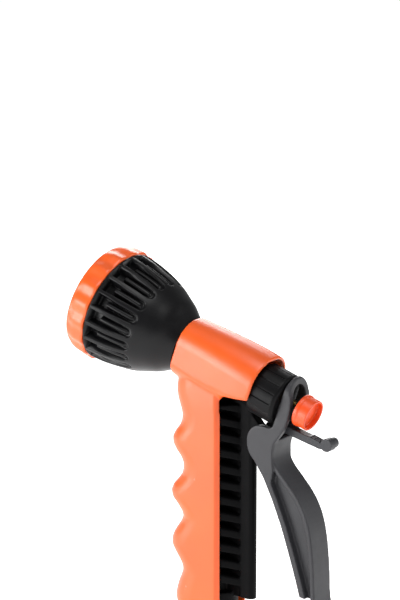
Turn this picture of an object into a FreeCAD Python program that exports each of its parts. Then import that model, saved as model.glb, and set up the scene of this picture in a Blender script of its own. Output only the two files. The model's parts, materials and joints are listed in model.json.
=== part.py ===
import FreeCAD, Part
import math
import os

V = FreeCAD.Vector

# Hose spray nozzle with a rear trigger lever.  All sizes in millimetres.
# Row frame: Z up, origin at the mouth of the hose spigot, spray toward -X,
# handle upright, the barrel rising toward the spray head.

# --- barrel line -----------------------------------------------------------
TILT = 19.2                 # barrel angle above level, degrees
BARREL_X, BARREL_Z = 26.0, 139.1
# t runs forward along the barrel line from this point, u square to it (up)

# --- orange cover ----------------------------------------------------------
COVER_WALL = 1.6
GRIP_WALL = 2.4
GRIP_REAR_X = 9.0
GRIP_BOTTOM, GRIP_TOP = 24.0, 146.0
GRIP_STEP = 3.0
OPENING_TOP_Z = 135.5
OPENING_CORNER = 4.5

# --- valve body ------------------------------------------------------------
BODY_R = 10.6
CHAMBER_R = 7.5
NECK_R, NECK_END = 10.0, 52.0
STEM_R = 2.5
STEM_GUIDE_R = 2.6
SEAT_T, SEAT_LENGTH, SEAT_R, SEAT_HOLE_R = 35.0, 3.0, 8.0, 4.5
TUBE_R, TUBE_BORE_R = 7.0, 4.6
SPINE_FRONT_X, SPINE_REAR_X, SPINE_HALF = 15.2, 22.3, 2.75
RIB_PITCH, RIB_THICK, RIB_SLOPE = 7.8, 3.5, 20.0

# --- gland and knob --------------------------------------------------------
NUT_R, NUT_REAR, NUT_FRONT, NUT_FLUTES = 12.9, -14.6, 0.0, 16
KNOB_R, KNOB_FRONT, KNOB_REAR = 8.0, -23.0, -30.0

# --- lever -----------------------------------------------------------------
PIVOT_X, PIVOT_Z = 30.2, 114.4
PIN_R, PIN_CLEAR, PIN_HALF = 1.75, 0.1, 7.2
BOSS_R = 3.8
CHEEK_IN, CHEEK_OUT = 5.2, 8.5
WEB_HALF, PALM_HALF, PALM_THICK = 5.0, 7.4, 2.4
CAM_R, CAM_T, CAM_U = 35.0, 13.28, -5.32

# --- head ------------------------------------------------------------------
BELL_REAR, BELL_FRONT, BELL_BORE_R = 45.3, 88.2, 21.6
POCKETS, POCKET_REAR, POCKET_FRONT = 20, 64.0, 87.2
POCKET_PHASE = 15.0
DIAL_REAR, DIAL_FRONT, DIAL_R, SCALLOPS = 88.5, 100.0, 29.0, 18

# --- hose spigot -----------------------------------------------------------
SPIGOT_NOSE_R, SPIGOT_COLLAR_R, SPIGOT_TOP = 7.8, 8.6, 31.5
SOCKET_R, SOCKET_BOTTOM, SOCKET_TOP = 8.05, 20.6, 33.0


LEAN = FreeCAD.Rotation(V(0, 1, 0), TILT)
TURN = FreeCAD.Rotation(V(0, 0, 1), 180)
BARREL = FreeCAD.Placement(V(BARREL_X, 0, BARREL_Z), LEAN.multiply(TURN))


def on_barrel(shape):
    """Move a shape drawn as (t, side, u) onto the barrel line."""
    moved = shape.copy()
    moved.Placement = BARREL.multiply(moved.Placement)
    return moved


def row_point(t, u):
    """Row X and Z of a point given along and square to the barrel line."""
    p = BARREL.multVec(V(t, 0, u))
    return p.x, p.z


def outline(points):
    closed = points + [points[0]]
    return Part.Face(Part.makePolygon(closed))


def turned(profile, axis=V(1, 0, 0)):
    """Ring or disc from a closed (station, radius) outline."""
    side = V(0, 0, 1) if axis.x else V(1, 0, 0)
    points = [axis * s + side * r for s, r in profile]
    return outline(points).revolve(V(0, 0, 0), axis, 360)


def upright(profile):
    return turned(profile, V(0, 0, 1))


def rod(t0, t1, radius):
    return Part.makeCylinder(radius, t1 - t0, V(t0, 0, 0), V(1, 0, 0))


def post(radius, z0, z1, x=0.0):
    return Part.makeCylinder(radius, z1 - z0, V(x, 0, z0), V(0, 0, 1))


def cross_rod(radius, x, z, y0, y1):
    return Part.makeCylinder(radius, y1 - y0, V(x, y0, z), V(0, 1, 0))


def spline(points):
    curve = Part.BSplineCurve()
    curve.interpolate(points)
    return curve.toShape()


def wire_face(edges):
    return Part.Face(Part.Wire(edges))


def plate(points, y0, y1):
    """Flat plate from (x, z) corners, between two side planes."""
    face = outline([V(x, y0, z) for x, z in points])
    return face.extrude(V(0, y1 - y0, 0))


def mirrored_pair(shape):
    return shape.fuse(shape.mirror(V(0, 0, 0), V(0, 1, 0)))


def wheel(count, radius, phase=0.0):
    """Evenly spaced (side, u) points round the barrel line."""
    places = []
    for k in range(count):
        a = math.radians(phase + 360.0 * k / count)
        places.append((radius * math.sin(a), radius * math.cos(a)))
    return places


def blend(table, s):
    """Smooth reading of a (station, value...) table."""
    last = len(table) - 1
    if s <= table[0][0]:
        return list(table[0][1:])
    if s >= table[last][0]:
        return list(table[last][1:])
    i = max(k for k in range(last) if table[k][0] <= s)
    step = table[i + 1][0] - table[i][0]
    f = (s - table[i][0]) / step
    values = []
    for c in range(1, len(table[0])):
        slopes = []
        for j in (i, i + 1):
            a, b = table[max(j - 1, 0)], table[min(j + 1, last)]
            slopes.append(step * (b[c] - a[c]) / (b[0] - a[0]))
        rise = (2 * f ** 3 - 3 * f ** 2 + 1) * table[i][c] + (3 * f ** 2 - 2 * f ** 3) * table[i + 1][c]
        values.append(rise + (f ** 3 - 2 * f ** 2 + f) * slopes[0] + (f ** 3 - f ** 2) * slopes[1])
    return values


# ===========================================================================
# Orange cover: arched barrel shell and finger-grooved grip shell
# ===========================================================================
# station, half width, top, bottom of the barrel shell
BARREL_SECTIONS = [
    (-1.6, 14.9, 16.6, -12.8),
    (8.0, 14.8, 16.9, -13.5),
    (20.0, 14.2, 16.6, -14.5),
    (32.0, 13.4, 15.9, -14.8),
    (45.0, 12.6, 14.9, -14.2),
]

# height, front face of the grip, half width
GRIP_SECTIONS = [
    (24.0, -18.5, 13.0), (31.0, -20.8, 13.0), (38.0, -19.2, 13.0),
    (45.5, -16.6, 13.0), (51.0, -19.4, 13.0), (57.0, -23.2, 13.0),
    (62.0, -22.2, 13.0), (71.5, -16.5, 13.0), (76.7, -19.2, 13.0),
    (79.7, -22.2, 13.0), (83.0, -23.6, 13.0), (86.8, -22.0, 13.0),
    (91.6, -17.6, 13.0), (97.3, -16.3, 13.0), (101.5, -18.0, 13.0),
    (105.5, -21.4, 13.0), (109.2, -22.8, 13.0), (112.5, -21.5, 13.0),
    (117.0, -18.1, 13.0), (122.1, -16.9, 13.0), (127.3, -18.5, 13.0),
    (133.1, -20.0, 12.9), (139.0, -19.6, 12.7), (146.0, -17.5, 12.4),
]


def barrel_section(t, half, top, bottom):
    high = top - 0.85 * half
    low = bottom + 0.55 * half
    k = math.sqrt(0.5)
    side = half * k
    crown = V(t, side, high + (top - high) * k)
    crown_far = V(t, -side, high + (top - high) * k)
    belly = V(t, side, low + (bottom - low) * k)
    belly_far = V(t, -side, low + (bottom - low) * k)
    corners = [V(t, half, low), V(t, half, high), V(t, 0, top)]
    corners += [V(t, -half, high), V(t, -half, low), V(t, 0, bottom)]
    edges = [Part.makeLine(corners[0], corners[1])]
    edges.append(Part.Arc(corners[1], crown, corners[2]).toShape())
    edges.append(Part.Arc(corners[2], crown_far, corners[3]).toShape())
    edges.append(Part.makeLine(corners[3], corners[4]))
    edges.append(Part.Arc(corners[4], belly_far, corners[5]).toShape())
    edges.append(Part.Arc(corners[5], belly, corners[0]).toShape())
    return Part.Wire(edges)


def barrel_loft(shrink, lengthen):
    wires = []
    last = len(BARREL_SECTIONS) - 1
    for n, (t, half, top, bottom) in enumerate(BARREL_SECTIONS):
        if n == 0:
            t -= lengthen
        if n == last:
            t += lengthen
        wires.append(barrel_section(t, half - shrink, top - shrink, bottom + shrink))
    return on_barrel(Part.makeLoft(wires, True, False))


def grip_section(z, front, half, rear, bevel):
    nose = 15.0
    flat = []
    for k in range(-4, 5):
        a = math.radians(90.0 * k / 4)
        y = half * math.copysign(abs(math.sin(a)) ** 0.86, math.sin(a))
        x = front + nose - nose * abs(math.cos(a)) ** 0.86
        flat.append(V(x, y, z))
    edges = [spline(flat)]
    edges.append(Part.makeLine(flat[-1], V(rear - bevel, half, z)))
    edges.append(Part.makeLine(V(rear - bevel, half, z), V(rear, half - bevel, z)))
    edges.append(Part.makeLine(V(rear, half - bevel, z), V(rear, bevel - half, z)))
    edges.append(Part.makeLine(V(rear, bevel - half, z), V(rear - bevel, -half, z)))
    edges.append(Part.makeLine(V(rear - bevel, -half, z), flat[0]))
    return Part.Wire(edges)


def grip_loft(shrink, rear, bevel, low, high):
    wires = []
    count = round((high - low) / GRIP_STEP)
    for k in range(count + 1):
        z = low + (high - low) * k / count
        front, half = blend(GRIP_SECTIONS, z)
        wires.append(grip_section(z, front + shrink, half - shrink, rear, bevel))
    return Part.makeLoft(wires, True, True)


def cover_shell():
    outer = barrel_loft(0.0, 0.0)
    outer = outer.fuse(grip_loft(0.0, GRIP_REAR_X, 2.0, GRIP_BOTTOM, GRIP_TOP))
    hollow = barrel_loft(COVER_WALL, 3.0)
    hollow = hollow.fuse(grip_loft(GRIP_WALL, GRIP_REAR_X + 5.0, 0.3, GRIP_BOTTOM - 4.0, 142.0))
    shell = outer.cut(hollow)
    rear = GRIP_REAR_X
    top = OPENING_TOP_Z
    c = OPENING_CORNER
    cut = Part.makeBox(60, 60, 70, V(rear + c, -30, top - c - 70))
    cut = cut.fuse(Part.makeBox(60, 60, c, V(rear + c, -30, top - c)))
    cut = cut.fuse(Part.makeBox(c, 60, 70 - c, V(rear, -30, top - 70)))
    cut = cut.fuse(cross_rod(c, rear + c, top - c, -30, 30))
    return shell.cut(cut)


# ===========================================================================
# Black valve body, gland and stem
# ===========================================================================
def rib_stack():
    wedge = [(2.0, 10.0), (8.8, 10.0), (15.6, 2.8), (15.6, -2.8), (8.8, -10.0), (2.0, -10.0)]
    plan = outline([V(x, y, 36) for x, y in wedge]).extrude(V(0, 0, 94))
    plates = []
    z = 44.0
    while z < 134.0:
        one = Part.makeBox(26, 24, RIB_THICK, V(-6, -12, -RIB_THICK / 2))
        one.rotate(V(0, 0, 0), V(0, 1, 0), RIB_SLOPE)
        one.translate(V(9, 0, z))
        plates.append(one)
        z += RIB_PITCH
    return plan.common(Part.makeCompound(plates))


def valve_body():
    barrel = on_barrel(rod(-10, 44, BODY_R).fuse(rod(40, NECK_END, NECK_R)))
    tube = post(TUBE_R, 28, 146)
    socket = post(10.4, SOCKET_BOTTOM, 36)
    web = plate([(2, 34), (18, 34), (18, 133), (2, 133)], -1.6, 1.6)
    half = SPINE_HALF
    spine = Part.makeBox(SPINE_REAR_X - half - SPINE_FRONT_X, 2 * half, 98,
                         V(SPINE_FRONT_X, -half, 34))
    spine = spine.fuse(post(half, 34, 132, SPINE_REAR_X - half))
    bracket = plate([(16, 130), (20.5, 127), (25.8, 121.3), (29.5, 118.1), (30.2, 118.2),
                     (30.2, 110.6), (28, 110.5), (21.5, 107.2), (16, 106)], -2.5, 2.5)
    bracket = bracket.fuse(cross_rod(BOSS_R, PIVOT_X, PIVOT_Z, -2.5, 2.5))
    block = plate([(10, 126), (24, 127), (24, 134), (10, 138)], -half, half)
    body = barrel
    for piece in (tube, socket, web, spine, bracket, block, rib_stack()):
        body = body.fuse(piece)
    nut_room = rod(NUT_REAR - 2, NUT_FRONT + 0.1, NUT_R + 0.1)
    nut_room = nut_room.cut(rod(NUT_REAR - 3, NUT_FRONT + 1, BODY_R + 0.02))
    body = body.cut(on_barrel(nut_room))
    chamber = rod(-2, SEAT_T + 0.5, CHAMBER_R)
    chamber = chamber.fuse(rod(SEAT_T, NECK_END + 1, SEAT_R + 0.05))
    chamber = chamber.fuse(rod(-7, 0, STEM_GUIDE_R))
    chamber = chamber.fuse(rod(-11, -6, 6.0))
    body = body.cut(on_barrel(chamber))
    body = body.cut(post(TUBE_BORE_R, 30, 147))
    body = body.cut(post(SOCKET_R, SOCKET_BOTTOM - 1, SOCKET_TOP))
    return body.cut(cross_rod(PIN_R, PIVOT_X, PIVOT_Z, -6, 6))


def gland_nut():
    c = 1.2
    nut = turned([(NUT_REAR, 3.2), (NUT_REAR, NUT_R - c), (NUT_REAR + c, NUT_R),
                  (NUT_FRONT, NUT_R), (NUT_FRONT, 10.65), (-12.25, 10.65), (-12.25, 3.2)])
    flutes = []
    for y, z in wheel(NUT_FLUTES, NUT_R + 0.25):
        flutes.append(Part.makeCylinder(0.7, 11.5, V(NUT_REAR + 2.4, y, z), V(1, 0, 0)))
    return on_barrel(nut.cut(Part.makeCompound(flutes)))


def gland_bush():
    return on_barrel(turned([(-12.2, 2.6), (-12.2, 10.5), (-10.05, 10.5),
                             (-10.05, 5.9), (-8.2, 5.9), (-8.2, 2.6)]))


def packing_ring():
    ring = turned([(-8.15, 2.6), (-8.15, 5.9), (-6.05, 5.9), (-6.05, 2.6)])
    return on_barrel(ring)


def valve_seat():
    lip = turned([(SEAT_T + 0.05, SEAT_HOLE_R), (SEAT_T + 0.05, SEAT_R),
                  (SEAT_T + SEAT_LENGTH, SEAT_R), (SEAT_T + SEAT_LENGTH, SEAT_HOLE_R + 1.2),
                  (SEAT_T + 1.6, SEAT_HOLE_R)])
    return on_barrel(lip)


def valve_stem():
    stem = turned([(-26.2, 0), (-26.2, 2.2), (-25.8, STEM_R), (17, STEM_R), (17, 5.2),
                   (18.6, 5.2), (19.4, STEM_R), (31, STEM_R), (31, 2.0), (40, 2.0),
                   (40.5, 1.5), (40.5, 0)])
    return on_barrel(stem)


def return_spring():
    wire_r, coil_r, length, turns = 0.55, 4.1, 18.6, 6.0
    helix = Part.makeHelix(length / turns, length - 2 * wire_r - 0.2, coil_r)
    circle = Part.Wire(Part.makeCircle(wire_r, V(coil_r, 0, 0), V(0, 1, 0)))
    coil = Part.Wire(helix.Edges).makePipeShell([circle], True, True)
    coil.rotate(V(0, 0, 0), V(0, 1, 0), 90)
    coil.translate(V(-2 + wire_r + 0.2, 0, 0))
    return on_barrel(coil)


def stem_seal():
    return on_barrel(turned([(32.9, 2.05), (32.9, 6.0), (33.4, 6.5), (34.9, 6.5), (34.9, 2.05)]))


def seal_cup():
    return on_barrel(turned([(31.0, 2.05), (31.0, 4.8), (32.0, 5.8), (32.85, 5.8), (32.85, 2.05)]))


def seal_nut():
    nut = turned([(34.95, 2.05), (34.95, 3.8), (37.6, 3.8), (38.4, 3.0), (38.4, 2.05)])
    return on_barrel(nut)


def knob_washer():
    return on_barrel(turned([(-22.7, 2.6), (-22.7, 7.0), (-22.1, 7.0), (-22.1, 2.6)]))


def flow_knob():
    step = 0.35
    cup = turned([(KNOB_FRONT, 4.6), (KNOB_FRONT, KNOB_R - 0.5), (KNOB_FRONT - 0.5, KNOB_R),
                  (-24.8, KNOB_R), (-25.3, KNOB_R - step), (KNOB_REAR + 0.6, KNOB_R - step),
                  (KNOB_REAR, KNOB_R - step - 0.6), (KNOB_REAR, 6.7), (-27.4, 6.4), (-27.4, 0),
                  (-26.6, 0), (-26.6, 4.6)])
    return on_barrel(cup)


def knob_insert():
    brass = turned([(-23.1, 2.55), (-23.1, 4.5), (-25.9, 4.5), (-26.3, 4.1), (-26.3, 2.55)])
    return on_barrel(brass)


# ===========================================================================
# Trigger lever and latch
# ===========================================================================
def cam_point(u):
    """Rear edge of the fork arm, the part that draws the knob back."""
    t = CAM_T - math.sqrt(CAM_R ** 2 - (u - CAM_U) ** 2)
    x, z = row_point(t, u)
    return V(x, 0, z)


def side_point(t, u):
    x, z = row_point(t, u)
    return V(x, 0, z)


def cheek_face(y):
    front = [(26.6, 105.4), (23.4, 109.6), (22.4, 115.0), (24.4, 120.4),
             (28.4, 122.8), (32.6, 122.7), (35.2, 122.5), (37.4, 125.0)]
    front_edge = spline([V(x, 0, z) for x, z in front])
    arm_front = spline([V(37.4, 0, 125.0), side_point(-15.5, -3.0),
                        side_point(-15.3, 6.0), side_point(-15.2, 13.9)])
    top = Part.makeLine(side_point(-15.2, 13.9), side_point(-17.0, 13.9))
    cam = [cam_point(u) for u in (10.5, 5.0, -1.0, -7.0, -11.0)]
    rear = spline([side_point(-17.0, 13.9)] + cam + [V(40.2, 0, 118.5), V(38.2, 0, 116.0)])
    back = [V(38.2, 0, 116.0), V(36.6, 0, 109.6), V(36.9, 0, 104.8), V(36.2, 0, 97.0)]
    base = [back[-1], V(31.4, 0, 98.4), V(26.6, 0, 105.4)]
    edges = [front_edge, arm_front, top, rear, spline(back)]
    edges.append(Part.makeLine(base[0], base[1]))
    edges.append(Part.makeLine(base[1], base[2]))
    face = wire_face(edges)
    face.translate(V(0, y, 0))
    return face


def fork_gate():
    """Front view of the fork: an arch with a long window between the arms."""
    arch = Part.makeBox(60, 2 * CHEEK_OUT, 58, V(-50, -CHEEK_OUT, -52.5))
    arch = arch.fuse(Part.makeCylinder(CHEEK_OUT, 60, V(-50, 0, 5.5), V(1, 0, 0)))
    window = Part.makeBox(62, 2 * CHEEK_IN, 45.5, V(-51, -CHEEK_IN, -40))
    window = window.fuse(Part.makeCylinder(CHEEK_IN, 62, V(-51, 0, 5.5), V(1, 0, 0)))
    return on_barrel(arch), on_barrel(window)


PALM_REAR = [(38.2, 116.4), (37.2, 112.6), (36.9, 107.8), (38.9, 103.4), (43.6, 98.0),
             (48.4, 92.8), (52.2, 87.6), (55.6, 80.5), (57.9, 71.0), (59.2, 60.0),
             (59.8, 50.0), (60.2, 42.0), (60.8, 38.0)]


def palm_plate():
    """Curved plate that the palm presses."""
    rear = [V(x, 0, z) for x, z in PALM_REAR]
    fore = []
    for n, p in enumerate(rear):
        a = rear[max(n - 1, 0)]
        b = rear[min(n + 1, len(rear) - 1)]
        run = b.sub(a)
        normal = V(run.z, 0, -run.x)
        normal.normalize()
        fore.append(p.add(normal * PALM_THICK))
    edges = [spline(rear), Part.makeLine(rear[-1], fore[-1])]
    edges.append(spline(list(reversed(fore))))
    edges.append(Part.makeLine(fore[0], rear[0]))
    face = wire_face(edges)
    face.translate(V(0, -PALM_HALF, 0))
    return face.extrude(V(0, 2 * PALM_HALF, 0))


def trigger_lever():
    cheeks = cheek_face(-CHEEK_OUT).extrude(V(0, 2 * CHEEK_OUT, 0))
    arch, window = fork_gate()
    fork = cheeks.common(arch).cut(window)
    palm = palm_plate()
    front = [(31.2, 98.9), (36.9, 87.5), (41.7, 76.0), (46.2, 63.0), (50.0, 51.0), (52.4, 42.6)]
    web = [(29.5, 103.0)] + front
    web += [(58.4, 41.0), (58.0, 50.0), (57.4, 60.0), (56.1, 71.0), (53.8, 80.0),
            (50.4, 86.8), (46.8, 91.6), (41.8, 97.0), (36.6, 102.8), (33.0, 103.2)]
    middle = plate(web, -WEB_HALF, WEB_HALF)
    edge = [(x + 3.3, z - 0.4) for x, z in reversed(front[1:])]
    edge += [(36.3, 95.4), (36.3, 103.0)]
    flange = plate([(26.7, 105.3)] + front + edge, -CHEEK_OUT, CHEEK_OUT)
    flange = flange.cut(cross_rod(10.6, PIVOT_X, PIVOT_Z, -CHEEK_IN, CHEEK_IN))
    lever = fork.fuse(palm).fuse(middle).fuse(flange)
    socket = PIN_HALF + 0.3
    lever = lever.cut(cross_rod(PIN_R + PIN_CLEAR, PIVOT_X, PIVOT_Z, -socket, socket))
    return lever.removeSplitter()


def lever_pin():
    return cross_rod(PIN_R - 0.01, PIVOT_X, PIVOT_Z, -PIN_HALF, PIN_HALF)


def latch_bar():
    legs = [(-15.2, -10.4), (-15.2, -14.8), (-10.4, -18.8), (-8.5, -21.2), (-12.1, -22.2),
            (-14.9, -21.8), (-14.6, -17.6), (-16.3, -14.7), (-19.2, -14.2), (-19.2, -10.2)]
    side = outline([V(t, 2.8, u) for t, u in legs]).extrude(V(0, 2.0, 0))
    side = side.fuse(Part.makeCylinder(BOSS_R - 0.1, 2.0, V(-12.09, 2.8, -21.95), V(0, 1, 0)))
    bar = mirrored_pair(side)
    yoke = [(-15.2, -10.4), (-15.2, -14.0), (-19.2, -14.2), (-19.2, -10.2)]
    bar = bar.fuse(outline([V(t, -4.8, u) for t, u in yoke]).extrude(V(0, 9.6, 0)))
    beam = [(-17.0, -10.4), (-17.0, -14.1), (-24.0, -13.7), (-38.8, -12.4), (-43.0, -11.0),
            (-43.0, -8.0), (-40.0, -9.4)]
    for n in range(6):
        beam += [(-38.4 + 1.0 * n, -9.3 - 0.04 * n), (-37.9 + 1.0 * n, -8.5 - 0.06 * n)]
    beam += [(-31.6, -9.5)]
    bar = bar.fuse(outline([V(t, -2.4, u) for t, u in beam]).extrude(V(0, 4.8, 0)))
    bar = bar.fuse(Part.makeCylinder(3.1, 4.6, V(-42.7, -0.6, -8.2), V(0, 1, 0)))
    bar = bar.fuse(Part.makeCylinder(2.5, 3.6, V(-42.7, -3.8, -8.2), V(0, 1, 0)))
    bar = on_barrel(bar)
    return bar.cut(cross_rod(PIN_R + PIN_CLEAR, PIVOT_X, PIVOT_Z, -6, 6))


# ===========================================================================
# Spray head and dial
# ===========================================================================
BELL_CURVE = [(45.3, 12.9), (47.0, 13.8), (50.0, 15.7), (54.0, 18.4), (59.0, 20.8),
              (64.0, 23.1), (69.0, 24.8), (74.0, 26.0), (80.0, 27.1), (85.0, 27.6), (88.2, 27.8)]


def bell_pocket():
    """Tapered, round-ended slot; its floor dives below the flare of the bell."""
    rear_w, front_w = 2.5, 3.3
    floor = outline([V(POCKET_REAR + 2.5, -rear_w, 22.4), V(POCKET_FRONT, -front_w, 22.4),
                     V(POCKET_FRONT, front_w, 22.4), V(POCKET_REAR + 2.5, rear_w, 22.4)])
    slot = floor.extrude(V(0, 0, 10))
    slot = slot.fuse(Part.makeCylinder(rear_w, 10, V(POCKET_REAR + 2.5, 0, 22.4), V(0, 0, 1)))
    finger = rod(POCKET_REAR, POCKET_FRONT - 5.0, 1.9)
    finger = finger.fuse(Part.makeSphere(1.9, V(POCKET_REAR, 0, 0)))
    finger.rotate(V(POCKET_REAR, 0, 0), V(0, 1, 0), -3.0)
    finger.translate(V(0, 0, 22.0))
    return slot.cut(finger)


def head_bell():
    points = [V(t, 0, r) for t, r in BELL_CURVE]
    inner = [(BELL_FRONT, BELL_BORE_R), (81.9, BELL_BORE_R), (81.9, 20.2), (74.0, 18.4),
             (67.5, 13.5), (66.0, 9.0), (81.9, 9.0), (81.9, 7.0), (54.0, 7.0),
             (54.0, NECK_R + 0.05), (BELL_REAR, NECK_R + 0.05)]
    corners = [points[-1]] + [V(t, 0, r) for t, r in inner] + [points[0]]
    edges = [spline(points)]
    edges += [Part.makeLine(a, b) for a, b in zip(corners, corners[1:])]
    bell = wire_face(edges).revolve(V(0, 0, 0), V(1, 0, 0), 360)
    slot = bell_pocket()
    slots = []
    for k in range(POCKETS):
        one = slot.copy()
        one.rotate(V(0, 0, 0), V(1, 0, 0), -(POCKET_PHASE + 360.0 * k / POCKETS))
        slots.append(one)
    return on_barrel(bell.cut(Part.makeCompound(slots)))


def neck_o_ring():
    return on_barrel(turned([(52.05, 8.2), (52.05, 9.9), (53.95, 9.9), (53.95, 8.2)]))


def distributor():
    disc = turned([(82.0, 0), (82.0, 21.5), (86.0, 21.5), (86.0, 3.5), (98.8, 3.5), (98.8, 0)])
    holes = [rod(88.0, 99.0, 1.5)]
    for y, z in wheel(3, 5.2, 60.0):
        holes.append(Part.makeCylinder(1.5, 6, V(81, y, z), V(1, 0, 0)))
    return on_barrel(disc.cut(Part.makeCompound(holes)))


def face_seal():
    return on_barrel(turned([(86.05, 8.0), (86.05, 20.0), (88.2, 20.0), (88.2, 8.0)]))


def dial_ring():
    ring = turned([(DIAL_REAR, 3.6), (DIAL_REAR, DIAL_R - 0.6), (DIAL_REAR + 0.8, DIAL_R),
                   (95.0, DIAL_R), (97.6, DIAL_R - 0.5), (99.3, DIAL_R - 1.4),
                   (DIAL_FRONT, DIAL_R - 2.4), (98.8, 26.4), (94.4, 26.4), (94.4, 24.4),
                   (90.5, 24.4), (90.5, 3.6)])
    cuts = []
    for y, z in wheel(SCALLOPS, DIAL_R + 3.5):
        cuts.append(Part.makeCylinder(4.1, 14, V(87, y, z), V(1, 0, 0)))
    for y, z in wheel(6, 13.0):
        cuts.append(Part.makeCylinder(2.0, 4, V(88, y, z), V(1, 0, 0)))
    return on_barrel(ring.cut(Part.makeCompound(cuts)))


def plate_gasket():
    return on_barrel(turned([(94.45, 24.5), (94.45, 26.3), (96.4, 26.3), (96.4, 24.5)]))


def spray_plate():
    disc = turned([(96.45, 3.6), (96.45, 26.3), (98.2, 26.3), (98.5, 25.8), (98.5, 3.6)])
    holes = []
    for count, radius in ((8, 8.5), (14, 13.0), (20, 17.5), (26, 22.0)):
        for y, z in wheel(count, radius):
            holes.append(Part.makeCylinder(0.65, 4, V(95.5, y, z), V(1, 0, 0)))
    return on_barrel(disc.cut(Part.makeCompound(holes)))


def dial_screw():
    screw = turned([(90.0, 0), (90.0, 1.45), (98.85, 1.45), (98.85, 6.0), (100.2, 5.6),
                    (100.8, 4.6), (100.8, 0)])
    slot = Part.makeBox(2, 7, 1.1, V(99.9, -3.5, -0.55))
    slot = slot.fuse(Part.makeBox(2, 1.1, 7, V(99.9, -0.55, -3.5)))
    return on_barrel(screw.cut(slot))


# ===========================================================================
# Hose end
# ===========================================================================
def base_plate():
    """Foot of the grip, closing the cover round the hose socket."""
    front, half = blend(GRIP_SECTIONS, GRIP_BOTTOM)
    outer = Part.Face(grip_section(GRIP_BOTTOM - 3.2, front + 0.4, half - 0.4, GRIP_REAR_X, 2.0))
    foot = outer.extrude(V(0, 0, 3.15))
    foot = foot.fuse(post(14.0, GRIP_BOTTOM - 3.2, GRIP_BOTTOM - 0.05, 0.0))
    return foot.cut(post(10.45, GRIP_BOTTOM - 4, GRIP_BOTTOM + 4, 0.0))


def hose_spigot():
    spigot = upright([(0, 4.8), (0, 6.5), (1.0, 7.4), (3.0, 7.4), (3.0, 6.0), (5.4, 6.0),
                      (5.4, 7.4), (6.4, SPIGOT_NOSE_R), (12.0, SPIGOT_NOSE_R), (12.0, 6.9),
                      (15.0, 6.9), (15.4, SPIGOT_COLLAR_R), (16.6, SPIGOT_COLLAR_R),
                      (16.6, 12.0), (20.5, 12.0), (20.5, 8.0), (SPIGOT_TOP, 8.0),
                      (SPIGOT_TOP, 4.8)])
    hexagon = []
    for k in range(6):
        a = math.radians(60.0 * k + 30.0)
        hexagon.append(V(12.6 * math.cos(a), 12.6 * math.sin(a), -1))
    spanner = outline(hexagon).extrude(V(0, 0, 40))
    return spigot.common(spanner)


def spigot_o_ring():
    return Part.makeTorus(6.9, 0.88, V(0, 0, 4.2), V(0, 0, 1))


def spigot_gasket():
    return upright([(31.55, 5.0), (31.55, 7.9), (32.95, 7.9), (32.95, 5.0)])


def inlet_filter():
    cup = upright([(22.0, 0), (22.0, 3.2), (30.2, 4.2), (30.2, 4.75), (31.4, 4.75),
                   (31.4, 3.8), (22.8, 2.6), (22.8, 0)])
    holes = []
    for z in (24.2, 26.2, 28.2):
        for k in range(6):
            a = math.radians(60.0 * k + 30.0 * (z > 25 and z < 27))
            holes.append(Part.makeCylinder(0.6, 6, V(0, 0, z), V(math.cos(a), math.sin(a), 0)))
    return cup.cut(Part.makeCompound(holes))


NODES = [
    cover_shell, valve_body, gland_nut, gland_bush, packing_ring, valve_seat,
    return_spring, lever_pin, head_bell, neck_o_ring, distributor,
    face_seal, dial_screw, base_plate, hose_spigot, spigot_o_ring,
    spigot_gasket, inlet_filter, trigger_lever, valve_stem, seal_cup,
    stem_seal, seal_nut, knob_washer, flow_knob, knob_insert, dial_ring,
    spray_plate, plate_gasket, latch_bar,
]

os.makedirs("parts", exist_ok=True)
for make in NODES:
    shape = make()
    box = shape.BoundBox
    print(make.__name__, len(shape.Solids), shape.isValid(), round(shape.Volume),
          [round(v, 1) for v in (box.XMin, box.XMax, box.YMin, box.YMax, box.ZMin, box.ZMax)])
    shape.exportStep(os.path.join("parts", make.__name__ + ".step"))
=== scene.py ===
import bmesh
import bpy
import json
import math
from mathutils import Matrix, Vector


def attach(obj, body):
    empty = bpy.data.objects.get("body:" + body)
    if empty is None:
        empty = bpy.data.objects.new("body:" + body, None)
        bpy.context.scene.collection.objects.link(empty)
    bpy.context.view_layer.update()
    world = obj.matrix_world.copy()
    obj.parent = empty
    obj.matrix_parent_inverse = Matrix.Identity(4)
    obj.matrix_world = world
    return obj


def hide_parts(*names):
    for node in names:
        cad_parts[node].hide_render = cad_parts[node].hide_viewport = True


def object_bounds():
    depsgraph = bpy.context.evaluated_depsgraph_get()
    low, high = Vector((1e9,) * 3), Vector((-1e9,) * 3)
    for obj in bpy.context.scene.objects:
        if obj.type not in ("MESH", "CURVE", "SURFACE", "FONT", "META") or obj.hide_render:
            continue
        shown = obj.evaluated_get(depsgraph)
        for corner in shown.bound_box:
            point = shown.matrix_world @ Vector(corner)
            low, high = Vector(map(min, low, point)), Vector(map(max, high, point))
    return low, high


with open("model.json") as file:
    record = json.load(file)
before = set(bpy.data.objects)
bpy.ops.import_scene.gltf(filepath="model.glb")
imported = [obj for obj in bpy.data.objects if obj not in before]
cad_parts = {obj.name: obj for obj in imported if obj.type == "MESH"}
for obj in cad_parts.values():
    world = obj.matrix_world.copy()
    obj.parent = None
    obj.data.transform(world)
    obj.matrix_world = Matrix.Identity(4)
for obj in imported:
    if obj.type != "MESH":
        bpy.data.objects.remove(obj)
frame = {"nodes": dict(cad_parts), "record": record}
cad_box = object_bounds()
nodes = frame["nodes"]
scene = bpy.context.scene
MM = 0.001

# ---------------------------------------------------------------------------
# Barrel line: t runs forward along it, u square to it, both in millimetres
# ---------------------------------------------------------------------------
TILT = math.radians(19.2)
ORIGIN = Vector((26.0, 0.0, 139.1))
FORWARD = Vector((-math.cos(TILT), 0.0, math.sin(TILT)))
SIDE = Vector((0.0, -1.0, 0.0))
UP = Vector((math.sin(TILT), 0.0, math.cos(TILT)))


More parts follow.
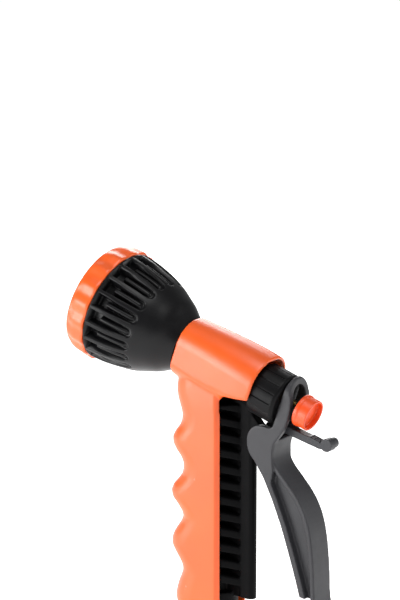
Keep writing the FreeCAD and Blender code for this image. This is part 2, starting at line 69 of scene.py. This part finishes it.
def on_barrel(t, s, u):
    return (ORIGIN + FORWARD * t + SIDE * s + UP * u) * MM


# ---------------------------------------------------------------------------
# Camera, lights and floor
# ---------------------------------------------------------------------------
AZIMUTH, ELEVATION = math.radians(34.5), math.radians(12.0)
TARGET = Vector((-0.010, 0.0, 0.177))
DISTANCE, LENS = 1.300, 163.8


def direction(azimuth, elevation):
    flat = math.cos(elevation)
    return Vector((math.sin(azimuth) * flat, -math.cos(azimuth) * flat, math.sin(elevation)))


def aim(obj, place, at):
    obj.location = place
    obj.rotation_mode = "QUATERNION"
    obj.rotation_quaternion = (at - place).to_track_quat("-Z", "Y")
    scene.collection.objects.link(obj)


camera_data = bpy.data.cameras.new("camera")
camera_data.lens = LENS
camera_data.sensor_width = 36.0
camera_data.clip_start = 0.01
camera = bpy.data.objects.new("camera", camera_data)
aim(camera, TARGET + direction(AZIMUTH, ELEVATION) * DISTANCE, TARGET)
scene.camera = camera


def soft_light(name, azimuth, elevation, distance, size, watts):
    data = bpy.data.lights.new(name, "AREA")
    data.shape = "DISK"
    data.size = size
    data.energy = watts
    lamp = bpy.data.objects.new(name, data)
    at = Vector((0.0, 0.0, 0.11))
    aim(lamp, at + direction(math.radians(azimuth), math.radians(elevation)) * distance, at)


soft_light("key", -38, 4, 1.1, 0.75, 12.5)
soft_light("top", 40, 70, 1.2, 0.70, 6.5)
soft_light("rear", 118, 20, 1.2, 0.55, 4.0)
soft_light("far_side", 215, 25, 1.4, 0.80, 8.0)

world = bpy.data.worlds.new("studio")
world.use_nodes = True
world.node_tree.nodes["Background"].inputs["Color"].default_value = (1.0, 1.0, 1.0, 1.0)
world.node_tree.nodes["Background"].inputs["Strength"].default_value = 0.20
scene.world = world
scene.view_settings.view_transform = "Standard"


# ---------------------------------------------------------------------------
# Materials
# ---------------------------------------------------------------------------
class Shader:
    """Principled material with object-space coordinates ready to use."""

    def __init__(self, name, rough, metallic=0.0, coat=0.0, specular=0.5):
        self.material = bpy.data.materials.new(name)
        self.material.use_nodes = True
        self.tree = self.material.node_tree
        self.bsdf = self.tree.nodes["Principled BSDF"]
        self.bsdf.inputs["Roughness"].default_value = rough
        self.bsdf.inputs["Metallic"].default_value = metallic
        self.bsdf.inputs["Coat Weight"].default_value = coat
        self.bsdf.inputs["Coat Roughness"].default_value = 0.32
        self.bsdf.inputs["Specular IOR Level"].default_value = specular
        self.place = self.node("ShaderNodeTexCoord").outputs["Object"]

    def node(self, kind, **settings):
        made = self.tree.nodes.new(kind)
        for key, value in settings.items():
            setattr(made, key, value)
        return made

    def link(self, out, socket):
        self.tree.links.new(out, socket)

    def noise(self, scale, detail=3.0, roughness=0.5):
        made = self.node("ShaderNodeTexNoise")
        made.inputs["Scale"].default_value = scale
        made.inputs["Detail"].default_value = detail
        made.inputs["Roughness"].default_value = roughness
        self.link(self.place, made.inputs["Vector"])
        return made.outputs["Fac"]

    def remap(self, value, low, high, to_low, to_high):
        made = self.node("ShaderNodeMapRange")
        made.inputs["From Min"].default_value = low
        made.inputs["From Max"].default_value = high
        made.inputs["To Min"].default_value = to_low
        made.inputs["To Max"].default_value = to_high
        self.link(value, made.inputs["Value"])
        return made.outputs["Result"]

    def mix(self, factor, a, b):
        made = self.node("ShaderNodeMix", data_type="RGBA")
        self.link(factor, made.inputs["Factor"])
        for socket, value in ((made.inputs[6], a), (made.inputs[7], b)):
            if isinstance(value, tuple):
                socket.default_value = (*value, 1.0)
            else:
                self.link(value, socket)
        return made.outputs[2]

    def bump(self, height, strength, distance, before=None):
        made = self.node("ShaderNodeBump")
        made.inputs["Strength"].default_value = strength
        made.inputs["Distance"].default_value = distance
        self.link(height, made.inputs["Height"])
        if before is not None:
            self.link(before, made.inputs["Normal"])
        return made.outputs["Normal"]


def plastic(name, color, rough, grain=2600.0, relief=0.16, coat=0.0, specular=0.5, worn=0.10):
    """Moulded plastic: fine spark-eroded grain, slow flow marks, rubbed edges."""
    s = Shader(name, rough, coat=coat, specular=specular)
    deep = tuple(c * 0.90 for c in color)
    rubbed = tuple(c + (1.0 - c) * worn for c in color)
    flow = s.remap(s.noise(38.0, 2.0), 0.35, 0.65, 0.0, 1.0)
    body = s.mix(flow, color, deep)
    edge = s.remap(s.node("ShaderNodeNewGeometry").outputs["Pointiness"], 0.53, 0.62, 0.0, 1.0)
    patchy = s.node("ShaderNodeMath", operation="MULTIPLY")
    s.link(edge, patchy.inputs[0])
    s.link(s.remap(s.noise(420.0, 4.0), 0.40, 0.62, 0.0, 1.0), patchy.inputs[1])
    s.link(s.mix(patchy.outputs[0], body, rubbed), s.bsdf.inputs["Base Color"])
    s.link(s.remap(s.noise(160.0, 4.0, 0.6), 0.3, 0.7, rough - 0.05, rough + 0.06),
           s.bsdf.inputs["Roughness"])
    slow = s.bump(s.noise(70.0, 2.0), 0.05, 0.0006)
    s.link(s.bump(s.noise(grain, 2.0, 0.7), relief, 0.00004, slow), s.bsdf.inputs["Normal"])
    return s.material


def metal(name, color, rough, kind="turned"):
    """Turned or drawn metal with fine tool marks and dulled patches."""
    s = Shader(name, rough, metallic=1.0)
    dull = tuple(c * 0.72 for c in color)
    s.link(s.mix(s.remap(s.noise(230.0, 5.0), 0.35, 0.7, 0.0, 1.0), color, dull),
           s.bsdf.inputs["Base Color"])
    wave = s.node("ShaderNodeTexWave", wave_type="RINGS" if kind == "turned" else "BANDS")
    wave.inputs["Scale"].default_value = 900.0
    wave.inputs["Distortion"].default_value = 1.5
    s.link(s.place, wave.inputs["Vector"])
    s.link(s.bump(wave.outputs["Fac"], 0.06, 0.00003), s.bsdf.inputs["Normal"])
    s.link(s.remap(s.noise(500.0, 4.0), 0.3, 0.7, rough - 0.06, rough + 0.10),
           s.bsdf.inputs["Roughness"])
    return s.material


LOOKS = {
    "cover_orange": plastic("cover_orange", (0.90, 0.112, 0.006), 0.38, coat=0.30),
    "dial_orange": plastic("dial_orange", (0.91, 0.115, 0.009), 0.38, coat=0.25),
    "knob_red_orange": plastic("knob_red_orange", (0.88, 0.078, 0.006), 0.38, coat=0.10),
    "body_black": plastic("body_black", (0.0028, 0.0028, 0.0032), 0.50, specular=0.07, worn=0.01),
    "bell_black": plastic("bell_black", (0.0045, 0.0045, 0.0052), 0.34, specular=0.24, worn=0.01),
    "nut_black": plastic("nut_black", (0.004, 0.004, 0.0045), 0.42, specular=0.13, worn=0.01),
    "lever_grey": plastic("lever_grey", (0.034, 0.034, 0.038), 0.46, relief=0.22,
                          specular=0.35, worn=0.06),
    "latch_grey": plastic("latch_grey", (0.030, 0.031, 0.036), 0.44, relief=0.20,
                          specular=0.35, worn=0.06),
    "plate_grey": plastic("plate_grey", (0.036, 0.036, 0.040), 0.44, specular=0.30, worn=0.0),
    "spigot_grey": plastic("spigot_grey", (0.12, 0.12, 0.125), 0.38, worn=0.02),
    "acetal_white": plastic("acetal_white", (0.70, 0.70, 0.66), 0.35, worn=0.0),
    "rubber_black": plastic("rubber_black", (0.008, 0.008, 0.008), 0.62, grain=1500.0,
                            relief=0.3, specular=0.3, worn=0.03),
    "brass": metal("brass", (0.66, 0.44, 0.15), 0.28),
    "spring_steel": metal("spring_steel", (0.55, 0.55, 0.57), 0.26, "drawn"),
    "pin_steel": metal("pin_steel", (0.58, 0.58, 0.60), 0.30),
}
slot_of = {s["node"]: s["material_slot"] for s in frame["record"]["subparts"]}
for name, node in nodes.items():
    node.data.materials.clear()
    node.data.materials.append(LOOKS[slot_of[name]])


# ---------------------------------------------------------------------------
# Piece making
# ---------------------------------------------------------------------------
def finish_piece(name, mesh, body, *replaced):
    mesh.materials.clear()
    mesh.materials.append(LOOKS[slot_of[replaced[0]]])
    for face in mesh.polygons:
        face.use_smooth = True
    obj = bpy.data.objects.new(name, mesh)
    scene.collection.objects.link(obj)
    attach(obj, body)
    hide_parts(*replaced)
    return obj


def soften(name, node, body, voxel, rounds):
    """Moulded copy of a CAD solid: same form, edges eased as a mould leaves them."""
    bm = bmesh.new()
    bm.from_mesh(nodes[node].data)
    bmesh.ops.remove_doubles(bm, verts=bm.verts, dist=2e-6)
    source = bpy.data.meshes.new(name)
    bm.to_mesh(source)
    bm.free()
    temp = bpy.data.objects.new(name + "_source", source)
    scene.collection.objects.link(temp)
    remesh = temp.modifiers.new("remesh", "REMESH")
    remesh.mode = "VOXEL"
    remesh.voxel_size = voxel * MM
    ease = temp.modifiers.new("ease", "SMOOTH")
    ease.factor = 0.5
    ease.iterations = rounds
    graph = bpy.context.evaluated_depsgraph_get()
    mesh = bpy.data.meshes.new_from_object(temp.evaluated_get(graph))
    bpy.data.objects.remove(temp)
    return finish_piece(name, mesh, body, node)


def rounded(corners, radius, steps=4):
    """Closed outline with each corner replaced by a small arc-like blend."""
    made = []
    count = len(corners)
    for i, corner in enumerate(corners):
        here = Vector(corner)
        before = Vector(corners[i - 1]) - here
        after = Vector(corners[(i + 1) % count]) - here
        reach = min(radius, 0.45 * before.length, 0.45 * after.length)
        a, b = here + before.normalized() * reach, here + after.normalized() * reach
        for k in range(steps + 1):
            f = k / steps
            made.append(a * (1 - f) ** 2 + here * (2 * f * (1 - f)) + b * f ** 2)
    return made


def dense(outline, step):
    made = []
    for a, b in zip(outline, outline[1:] + outline[:1]):
        parts = max(1, round((b - a).length / step))
        made += [a + (b - a) * (k / parts) for k in range(parts)]
    return made


def spun(outline, count, shape):
    """Ring mesh: a closed (t, r) outline turned round the barrel line and shaped."""
    mesh = bpy.data.meshes.new("spun")
    rows = len(outline)
    points, faces = [], []
    for k in range(count):
        angle = 2 * math.pi * k / count
        for t, r in outline:
            t2, r2 = shape(t, r, angle)
            points.append(on_barrel(t2, r2 * math.sin(angle), r2 * math.cos(angle)))
    for k in range(count):
        a, b = k * rows, ((k + 1) % count) * rows
        for i in range(rows):
            j = (i + 1) % rows
            faces.append((a + i, b + i, b + j, a + j))
    mesh.from_pydata(points, [], faces)
    bm = bmesh.new()
    bm.from_mesh(mesh)
    bmesh.ops.recalc_face_normals(bm, faces=bm.faces)
    bm.to_mesh(mesh)
    bm.free()
    return mesh


def smoothstep(low, high, value):
    f = min(max((value - low) / (high - low), 0.0), 1.0)
    return f * f * (3 - 2 * f)


def read_curve(table, s):
    """Smooth reading of a (station, value) table."""
    last = len(table) - 1
    s = min(max(s, table[0][0]), table[last][0])
    i = max(k for k in range(last) if table[k][0] <= s)
    step = table[i + 1][0] - table[i][0]
    f = (s - table[i][0]) / step
    slope = []
    for j in (i, i + 1):
        a, b = table[max(j - 1, 0)], table[min(j + 1, last)]
        slope.append(step * (b[1] - a[1]) / (b[0] - a[0]))
    rise = (2 * f ** 3 - 3 * f ** 2 + 1) * table[i][1] + (3 * f ** 2 - 2 * f ** 3) * table[i + 1][1]
    return rise + (f ** 3 - 2 * f ** 2 + f) * slope[0] + (f ** 3 - f ** 2) * slope[1]


# --- bell with its ring of pockets -------------------------------------------
BELL = [(45.3, 12.9), (47.0, 13.8), (50.0, 15.7), (54.0, 18.4), (59.0, 20.8), (64.0, 23.1),
        (69.0, 24.8), (74.0, 26.0), (80.0, 27.1), (85.0, 27.6), (88.2, 27.8)]
BELL_REAR, BELL_FRONT = BELL[0][0], BELL[-1][0]
POCKETS, POCKET_PHASE = 20, math.radians(15.0)
POCKET_REAR, POCKET_FRONT, FLOOR_R = 64.0, 87.2, 22.4
REAR_HALF, FRONT_HALF = 2.5, 3.3
FINGER_HALF, FINGER_REAR, FINGER_FRONT = 2.0, 65.8, 82.0
CREST_DEPTH, CREST_SLOPE = 0.35, 0.075      # below the skin, and deeper per mm forward
FLANK_DROP, FRONT_DROP, REAR_DROP = 3.2, 6.0, 2.0


def pocket_gap(t, r, angle):
    """How far outside a pocket's edge a point is, and how far across it, in mm."""
    pitch = 2 * math.pi / POCKETS
    off = (angle - POCKET_PHASE + pitch / 2) % pitch - pitch / 2
    across = r * off
    turn = POCKET_REAR + REAR_HALF
    if t < turn:
        gap = math.hypot(across, turn - t) - REAR_HALF
    else:
        f = (t - turn) / (POCKET_FRONT - turn)
        gap = abs(across) - (REAR_HALF + (FRONT_HALF - REAR_HALF) * f)
    return max(gap, t - POCKET_FRONT), across


def bell_shape(t, r, angle):
    skin = read_curve(BELL, t)
    if r < skin - 0.01 or t > BELL_FRONT - 0.05:
        return t, r
    gap, across = pocket_gap(t, r, angle)
    if gap > 0.3:
        return t, r
    crest = skin - CREST_DEPTH - CREST_SLOPE * (t - FINGER_REAR)
    finger = crest - FLANK_DROP * (abs(across) / FINGER_HALF) ** 3
    finger -= FRONT_DROP * smoothstep(FINGER_FRONT - 0.9, FINGER_FRONT + 0.9, t)
    finger -= REAR_DROP * smoothstep(FINGER_REAR + 1.0, FINGER_REAR - 1.2, t)
    floor = min(max(FLOOR_R, finger), r)
    into = smoothstep(0.25, -0.35, gap)
    return t, r + (floor - r) * into


skin = [Vector((BELL_REAR + (BELL_FRONT - BELL_REAR) * k / 108, 0)) for k in range(109)]
skin = [Vector((p.x, read_curve(BELL, p.x))) for p in skin]
inside = [(88.2, 21.8), (82.4, 21.7), (81.9, 20.2), (74.0, 18.4), (67.5, 13.5), (66.0, 9.2),
          (62.0, 9.2), (54.0, 10.2), (45.3, 10.2)]
bell_outline = skin + [Vector(p) for p in inside]
finish_piece("bell_skin", spun(bell_outline, 20 * 26, bell_shape), "body", "head_bell")


# --- dial ring ---------------------------------------------------------------
SCALLOPS, SCALLOP_DEPTH = 18, 0.95
DIAL_EDGE = 27.5


def dial_shape(t, r, angle):
    if r < DIAL_EDGE:
        return t, r
    wave = 0.5 - 0.5 * math.cos(SCALLOPS * angle)
    return t, r - SCALLOP_DEPTH * wave * smoothstep(DIAL_EDGE - 0.6, DIAL_EDGE + 0.9, r)


dial_corners = [(88.5, 27.0), (88.5, 28.6), (89.4, 28.95), (94.6, 28.8), (97.7, 28.0),
                (99.4, 27.0), (99.0, 26.35), (94.4, 26.35), (94.4, 24.4), (90.5, 24.4),
                (90.5, 3.7), (88.5, 3.7)]
dial_outline = dense(rounded(dial_corners, 1.3), 0.7)
finish_piece("dial_scalloped", spun(dial_outline, SCALLOPS * 20, dial_shape), "dial", "dial_ring")


# --- gland nut ---------------------------------------------------------------
PANELS, GROOVE_DEPTH = 16, 0.55
NUT_R = 12.9
GROOVE_REAR = -13.2


def nut_shape(t, r, angle):
    if r < NUT_R - 0.7 or t < GROOVE_REAR:
        return t, r
    groove = smoothstep(0.90, 0.985, math.cos(PANELS * angle))
    run = smoothstep(-12.9, -12.0, t)
    return t, r - GROOVE_DEPTH * groove * run


nut_corners = [(-14.6, 3.2), (-14.6, NUT_R - 1.2), (-13.4, NUT_R), (0.0, NUT_R), (0.0, 10.7),
               (-12.25, 10.7), (-12.25, 3.2)]
nut_outline = dense(rounded(nut_corners, 0.6), 0.5)
finish_piece("gland_ribbed", spun(nut_outline, PANELS * 28, nut_shape), "body", "gland_nut")


# --- flow knob ---------------------------------------------------------------
knob_corners = [(-23.0, 4.6), (-23.0, 8.0), (-24.8, 8.0), (-25.3, 7.65), (-30.0, 7.65),
                (-30.0, 6.7), (-27.4, 6.4), (-27.4, 0.02), (-26.6, 0.02), (-26.6, 4.6)]
knob_outline = dense(rounded(knob_corners, 0.45), 0.35)
finish_piece("knob_cup", spun(knob_outline, 120, lambda t, r, a: (t, r)), "knob", "flow_knob")


# --- eased copies of the moulded solids -----------------------------------------
soften("cover_moulded", "cover_shell", "body", 0.50, 10)
soften("body_moulded", "valve_body", "body", 0.45, 3)
soften("lever_moulded", "trigger_lever", "lever", 0.42, 5)
soften("latch_moulded", "latch_bar", "latch", 0.22, 3)


# --- floor -------------------------------------------------------------------
floor_mesh = bpy.data.meshes.new("floor")
reach = 6.0
corners = [(-reach, -reach, 0), (reach, -reach, 0), (reach, reach, 0), (-reach, reach, 0)]
floor_mesh.from_pydata(corners, [], [(0, 1, 2, 3)])
floor = bpy.data.objects.new("floor", floor_mesh)
floor.location.z = cad_box[0].z - 0.0004
scene.collection.objects.link(floor)
paper = Shader("paper", 0.85, specular=0.1)
paper.link(paper.mix(paper.noise(3.0), (0.90, 0.90, 0.90), (0.93, 0.93, 0.93)),
           paper.bsdf.inputs["Base Color"])
paper.bsdf.inputs["Emission Color"].default_value = (1.0, 1.0, 1.0, 1.0)
paper.bsdf.inputs["Emission Strength"].default_value = 0.82
floor_mesh.materials.append(paper.material)
